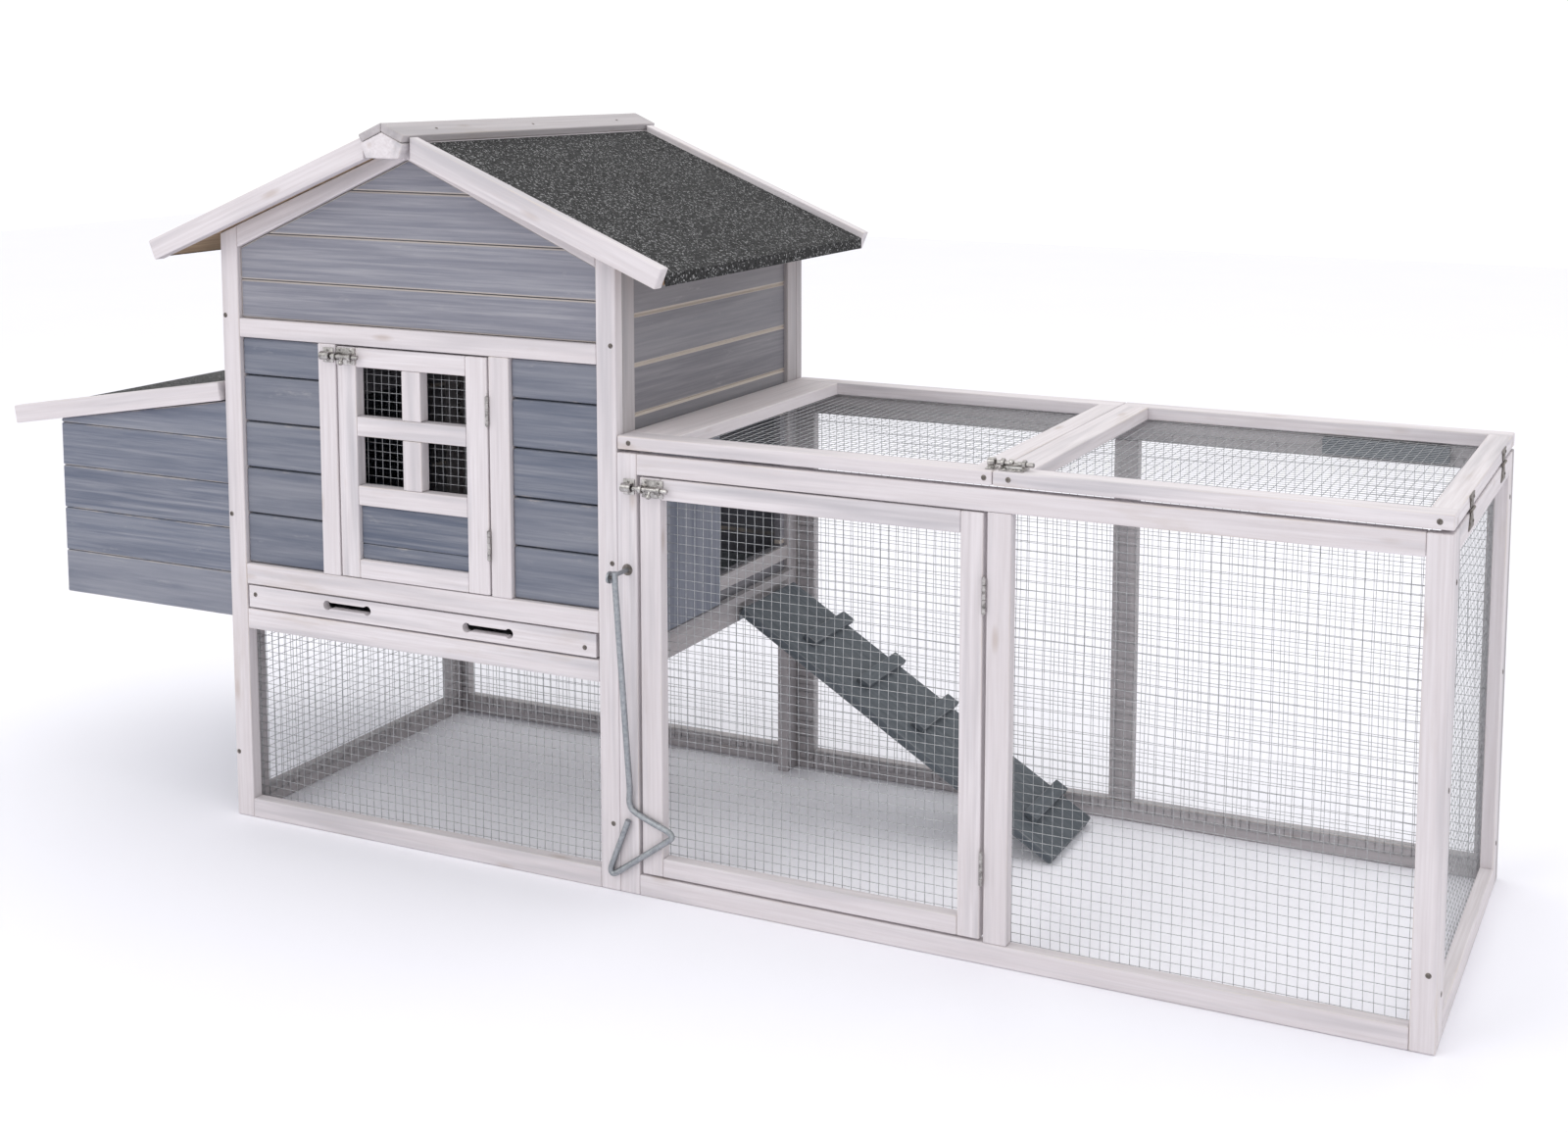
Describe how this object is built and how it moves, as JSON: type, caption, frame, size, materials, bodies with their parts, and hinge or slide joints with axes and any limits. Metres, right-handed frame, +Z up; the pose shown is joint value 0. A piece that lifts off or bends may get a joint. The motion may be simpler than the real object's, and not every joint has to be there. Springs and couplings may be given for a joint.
{
  "type": "chicken coop with nest box and run",
  "caption": "Gabled wooden hen house on legs with a felt roof, side nest box and pull-out tray, joined to a low wire-mesh run with hinged door, lid and ramp.",
  "frame": {"origin": "centre of the coop's overall base, on the ground", "axes": "+X along the front towards the run, +Y from the front to the back, +Z up"},
  "size_m": [2.144, 0.644, 1.027],
  "materials": {
    "whitewashed_frame": "whitewashed softwood",
    "stained_siding": "blue-grey stain",
    "roof_felt": "mineral bitumen felt",
    "raw_timber": "unpainted",
    "slate_paint": "dark slate paint",
    "wire_mesh": "galvanised",
    "zinc": "zinc",
    "nickel": "bright nickel"
  },
  "bodies": {
    "coop": {"barge_back_left": "whitewashed_frame", "barge_back_right": "whitewashed_frame", "barge_front_left": "whitewashed_frame", "barge_front_right": "whitewashed_frame", "gable_trim_left": "whitewashed_frame", "gable_trim_right": "whitewashed_frame", "house_back_frame": "whitewashed_frame", "house_bolt_keeper": "nickel", "house_front_frame": "whitewashed_frame", "house_left_frame": "whitewashed_frame", "house_right_frame": "whitewashed_frame", "lid_bolt_keeper": "nickel", "lid_left_frame": "whitewashed_frame", "mesh_house_back": "wire_mesh", "mesh_house_front": "wire_mesh", "mesh_house_left": "wire_mesh", "mesh_lid_left": "wire_mesh", "mesh_run_back": "wire_mesh", "mesh_run_end": "wire_mesh", "mesh_run_front": "wire_mesh", "nest_box": "stained_siding", "pop_guide": "whitewashed_frame", "ridge_beam": "whitewashed_frame", "ridge_cap": "whitewashed_frame", "roof_board_left": "raw_timber", "roof_board_right": "raw_timber", "roof_felt_left": "roof_felt", "roof_felt_right": "roof_felt", "run_back_frame": "whitewashed_frame", "run_bolt_keeper": "nickel", "run_end_frame": "whitewashed_frame", "run_front_frame": "whitewashed_frame", "siding_back": "stained_siding", "siding_front_gable": "stained_siding", "siding_front_left": "stained_siding", "siding_front_right": "stained_siding", "siding_left": "stained_siding", "siding_right": "stained_siding", "tray_ledge": "raw_timber"},
    "house_door": {"house_door_frame": "whitewashed_frame", "house_door_panel": "stained_siding", "mesh_house_door": "wire_mesh", "house_bolt_body": "nickel"},
    "house_bolt": {"house_bolt_rod": "nickel"},
    "run_door": {"run_door_frame": "whitewashed_frame", "mesh_run_door": "wire_mesh", "run_bolt_body": "nickel"},
    "run_bolt": {"run_bolt_rod": "nickel"},
    "lid": {"lid_right_frame": "whitewashed_frame", "mesh_lid_right": "wire_mesh", "lid_bolt_body": "nickel"},
    "lid_bolt": {"lid_bolt_rod": "nickel"},
    "nest_cover": {"nest_lid": "whitewashed_frame", "nest_lid_felt": "roof_felt"},
    "tray": {"tray_pan": "zinc", "tray_front": "whitewashed_frame"},
    "pop_panel": {"pop_door": "stained_siding"},
    "pull_rod_body": {"pull_rod": "zinc"},
    "handle": {"pull_handle": "zinc"},
    "ramp_board": {"ramp": "slate_paint"}
  },
  "joints": [
    {"name": "house_door_hinge", "type": "hinge", "parent": "coop", "child": "house_door", "pos_m": [-0.202, -0.273, 0.547], "axis": [0, 0, 1], "range_deg": [0, 110]},
    {"name": "house_bolt_slide", "type": "slide", "parent": "house_door", "child": "house_bolt", "axis": [1, 0, 0], "range_m": [-0.009, 0.009]},
    {"name": "run_door_hinge", "type": "hinge", "parent": "coop", "child": "run_door", "pos_m": [0.5205, -0.273, 0.3], "axis": [0, 0, 1], "range_deg": [0, 90]},
    {"name": "run_bolt_slide", "type": "slide", "parent": "run_door", "child": "run_bolt", "axis": [1, 0, 0], "range_m": [-0.009, 0.009]},
    {"name": "lid_hinge", "type": "hinge", "parent": "coop", "child": "lid", "pos_m": [1.0735, 0, 0.6035], "axis": [0, 1, 0], "range_deg": [0, 110]},
    {"name": "lid_bolt_slide", "type": "slide", "parent": "lid", "child": "lid_bolt", "axis": [1, 0, 0], "range_m": [-0.006, 0.009]},
    {"name": "nest_lid_hinge", "type": "hinge", "parent": "coop", "child": "nest_cover", "pos_m": [-0.6685, 0, 0.6465], "axis": [0, 1, 0], "range_deg": [0, 72]},
    {"name": "tray_slide", "type": "slide", "parent": "coop", "child": "tray", "axis": [0, -1, 0], "range_m": [0, 0.42]},
    {"name": "pop_door_slide", "type": "slide", "parent": "coop", "child": "pop_panel", "axis": [0, 1, 0], "range_m": [0, 0.217]},
    {"name": "pull_rod_slide", "type": "slide", "parent": "coop", "child": "pull_rod_body", "axis": [0, -1, 0], "range_m": [0, 0.06]},
    {"name": "handle_fold", "type": "hinge", "parent": "pull_rod_body", "child": "handle", "pos_m": [0.0153, -0.313, 0.444], "axis": [-1, 0, 0], "range_deg": [0, 136]},
    {"name": "ramp_hinge", "type": "hinge", "parent": "coop", "child": "ramp_board", "pos_m": [0.0045, 0.1325, 0.299], "axis": [0, -1, 0], "range_deg": [0, 45]}
  ],
  "couplings": [
    {"joint": "handle_fold", "follows": "run_door_hinge", "ratio": 1.5}
  ]
}
